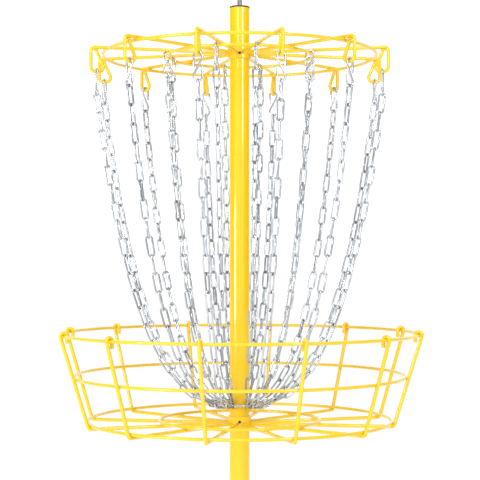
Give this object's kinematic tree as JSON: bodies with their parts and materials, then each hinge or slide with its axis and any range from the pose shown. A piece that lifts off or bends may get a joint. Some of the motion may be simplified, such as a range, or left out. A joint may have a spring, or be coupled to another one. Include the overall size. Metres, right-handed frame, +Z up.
{
  "type": "disc golf basket",
  "caption": "Free-standing disc golf basket: a pole with a wire tray and a rack of hanging steel chains gathered on a ring above the tray.",
  "frame": {"origin": "on the ground under the pole axis", "axes": "+Z up along the pole, -Y towards the side that the set screws face, +X to the right of that side"},
  "size_m": [0.6866, 0.6866, 1.505],
  "materials": {
    "yellow_powder_coat": "gloss powder coat",
    "zinc_plated_steel": "bright zinc plating",
    "dark_steel": "oiled dark steel",
    "black_steel": "black oxide",
    "black_plastic": "moulded plastic",
    "rubber": "matt"
  },
  "bodies": {
    "base": {"base_hoop": "yellow_powder_coat", "base_cross_tubes": "yellow_powder_coat", "base_socket": "yellow_powder_coat", "base_socket_floor": "yellow_powder_coat", "base_feet": "rubber", "base_lock_bolt": "dark_steel", "base_lock_nut": "yellow_powder_coat"},
    "pole": {"pole": "yellow_powder_coat", "pole_top_plug": "black_plastic", "top_stud": "dark_steel", "top_stud_nut": "dark_steel"},
    "tray": {"tray_collar": "yellow_powder_coat", "tray_set_screw": "black_steel", "tray_rim": "yellow_powder_coat", "tray_middle_ring": "yellow_powder_coat", "tray_bottom_ring": "yellow_powder_coat", "tray_floor_ring": "yellow_powder_coat", "tray_rib_01": "yellow_powder_coat", "tray_rib_02": "yellow_powder_coat", "tray_rib_03": "yellow_powder_coat", "tray_rib_04": "yellow_powder_coat", "tray_rib_05": "yellow_powder_coat", "tray_rib_06": "yellow_powder_coat", "tray_rib_07": "yellow_powder_coat", "tray_rib_08": "yellow_powder_coat", "tray_rib_09": "yellow_powder_coat", "tray_rib_10": "yellow_powder_coat", "tray_rib_11": "yellow_powder_coat", "tray_rib_12": "yellow_powder_coat"},
    "rack": {"rack_collar": "yellow_powder_coat", "rack_set_screw": "black_steel", "rack_outer_ring": "yellow_powder_coat", "rack_inner_ring": "yellow_powder_coat", "rack_hook_spokes": "yellow_powder_coat", "outer_s_hooks": "zinc_plated_steel", "inner_s_hooks": "zinc_plated_steel", "chain_end_links": "zinc_plated_steel"},
    "gathering_ring": {"chain_ring": "zinc_plated_steel"},
    "inner_chain_01": {"inner_chain_01": "zinc_plated_steel"},
    "inner_chain_02": {"inner_chain_02": "zinc_plated_steel"},
    "inner_chain_03": {"inner_chain_03": "zinc_plated_steel"},
    "inner_chain_04": {"inner_chain_04": "zinc_plated_steel"},
    "inner_chain_05": {"inner_chain_05": "zinc_plated_steel"},
    "inner_chain_06": {"inner_chain_06": "zinc_plated_steel"},
    "inner_chain_07": {"inner_chain_07": "zinc_plated_steel"},
    "inner_chain_08": {"inner_chain_08": "zinc_plated_steel"},
    "outer_chain_01": {"outer_chain_01": "zinc_plated_steel"},
    "outer_chain_02": {"outer_chain_02": "zinc_plated_steel"},
    "outer_chain_03": {"outer_chain_03": "zinc_plated_steel"},
    "outer_chain_04": {"outer_chain_04": "zinc_plated_steel"},
    "outer_chain_05": {"outer_chain_05": "zinc_plated_steel"},
    "outer_chain_06": {"outer_chain_06": "zinc_plated_steel"},
    "outer_chain_07": {"outer_chain_07": "zinc_plated_steel"},
    "outer_chain_08": {"outer_chain_08": "zinc_plated_steel"},
    "outer_chain_09": {"outer_chain_09": "zinc_plated_steel"},
    "outer_chain_10": {"outer_chain_10": "zinc_plated_steel"},
    "outer_chain_11": {"outer_chain_11": "zinc_plated_steel"},
    "outer_chain_12": {"outer_chain_12": "zinc_plated_steel"}
  },
  "joints": [
    {"name": "pole_lift_out", "type": "slide", "parent": "base", "child": "pole", "axis": [0, 0, 1], "range_m": [0, 0.13]},
    {"name": "tray_turn", "type": "hinge", "parent": "pole", "child": "tray", "pos_m": [0, 0, 0.655], "axis": [0, 0, 1], "continuous": true},
    {"name": "rack_turn", "type": "hinge", "parent": "pole", "child": "rack", "pos_m": [0, 0, 1.35], "axis": [0, 0, 1], "continuous": true},
    {"name": "chain_ring_turn", "type": "hinge", "parent": "rack", "child": "gathering_ring", "pos_m": [0, 0, 0.684], "axis": [0, 0, 1], "continuous": true},
    {"name": "inner_chain_01_swing", "type": "hinge", "parent": "rack", "child": "inner_chain_01", "pos_m": [0.02961, -0.13581, 1.30677], "axis": [0.0199, -0.1345, 0.9907], "range_deg": [-20, 20]},
    {"name": "inner_chain_02_swing", "type": "hinge", "parent": "rack", "child": "inner_chain_02", "pos_m": [0.13242, -0.04226, 1.30677], "axis": [0.126, -0.043, 0.9911], "range_deg": [-20, 20]},
    {"name": "inner_chain_03_swing", "type": "hinge", "parent": "rack", "child": "inner_chain_03", "pos_m": [0.13581, 0.02961, 1.30677], "axis": [0.131, 0.025, 0.9911], "range_deg": [-20, 20]},
    {"name": "inner_chain_04_swing", "type": "hinge", "parent": "rack", "child": "inner_chain_04", "pos_m": [0.04226, 0.13242, 1.30677], "axis": [0.0375, 0.1279, 0.9911], "range_deg": [-20, 20]},
    {"name": "inner_chain_05_swing", "type": "hinge", "parent": "rack", "child": "inner_chain_05", "pos_m": [-0.02961, 0.13581, 1.30677], "axis": [-0.0227, 0.1322, 0.991], "range_deg": [-20, 20]},
    {"name": "inner_chain_06_swing", "type": "hinge", "parent": "rack", "child": "inner_chain_06", "pos_m": [-0.13242, 0.04226, 1.30677], "axis": [-0.1268, 0.0398, 0.9911], "range_deg": [-20, 20]},
    {"name": "inner_chain_07_swing", "type": "hinge", "parent": "rack", "child": "inner_chain_07", "pos_m": [-0.13581, -0.02961, 1.30677], "axis": [-0.1299, -0.0281, 0.9911], "range_deg": [-20, 20]},
    {"name": "inner_chain_08_swing", "type": "hinge", "parent": "rack", "child": "inner_chain_08", "pos_m": [-0.04226, -0.13242, 1.30677], "axis": [-0.0347, -0.1298, 0.9909], "range_deg": [-20, 20]},
    {"name": "outer_chain_01_swing", "type": "hinge", "parent": "rack", "child": "outer_chain_01", "pos_m": [0.07118, -0.26563, 1.26817], "axis": [0.0607, -0.2823, 0.9574], "range_deg": [-20, 20]},
    {"name": "outer_chain_02_swing", "type": "hinge", "parent": "rack", "child": "outer_chain_02", "pos_m": [0.19445, -0.19445, 1.26817], "axis": [0.1949, -0.2062, 0.9589], "range_deg": [-20, 20]},
    {"name": "outer_chain_03_swing", "type": "hinge", "parent": "rack", "child": "outer_chain_03", "pos_m": [0.26563, -0.07118, 1.26817], "axis": [0.2721, -0.082, 0.9588], "range_deg": [-20, 20]},
    {"name": "outer_chain_04_swing", "type": "hinge", "parent": "rack", "child": "outer_chain_04", "pos_m": [0.26563, 0.07118, 1.26817], "axis": [0.2772, 0.0645, 0.9586], "range_deg": [-20, 20]},
    {"name": "outer_chain_05_swing", "type": "hinge", "parent": "rack", "child": "outer_chain_05", "pos_m": [0.19445, 0.19445, 1.26817], "axis": [0.2012, 0.1974, 0.9595], "range_deg": [-20, 20]},
    {"name": "outer_chain_06_swing", "type": "hinge", "parent": "rack", "child": "outer_chain_06", "pos_m": [0.07118, 0.26563, 1.26817], "axis": [0.0763, 0.2715, 0.9594], "range_deg": [-20, 20]},
    {"name": "outer_chain_07_swing", "type": "hinge", "parent": "rack", "child": "outer_chain_07", "pos_m": [-0.07118, 0.26563, 1.26817], "axis": [-0.0763, 0.2715, 0.9594], "range_deg": [-20, 20]},
    {"name": "outer_chain_08_swing", "type": "hinge", "parent": "rack", "child": "outer_chain_08", "pos_m": [-0.19445, 0.19445, 1.26817], "axis": [-0.2012, 0.1974, 0.9595], "range_deg": [-20, 20]},
    {"name": "outer_chain_09_swing", "type": "hinge", "parent": "rack", "child": "outer_chain_09", "pos_m": [-0.26563, 0.07118, 1.26817], "axis": [-0.2772, 0.0645, 0.9586], "range_deg": [-20, 20]},
    {"name": "outer_chain_10_swing", "type": "hinge", "parent": "rack", "child": "outer_chain_10", "pos_m": [-0.26563, -0.07118, 1.26817], "axis": [-0.2721, -0.082, 0.9588], "range_deg": [-20, 20]},
    {"name": "outer_chain_11_swing", "type": "hinge", "parent": "rack", "child": "outer_chain_11", "pos_m": [-0.19445, -0.19445, 1.26817], "axis": [-0.1949, -0.2062, 0.9589], "range_deg": [-20, 20]},
    {"name": "outer_chain_12_swing", "type": "hinge", "parent": "rack", "child": "outer_chain_12", "pos_m": [-0.07118, -0.26563, 1.26817], "axis": [-0.0607, -0.2823, 0.9574], "range_deg": [-20, 20]}
  ]
}
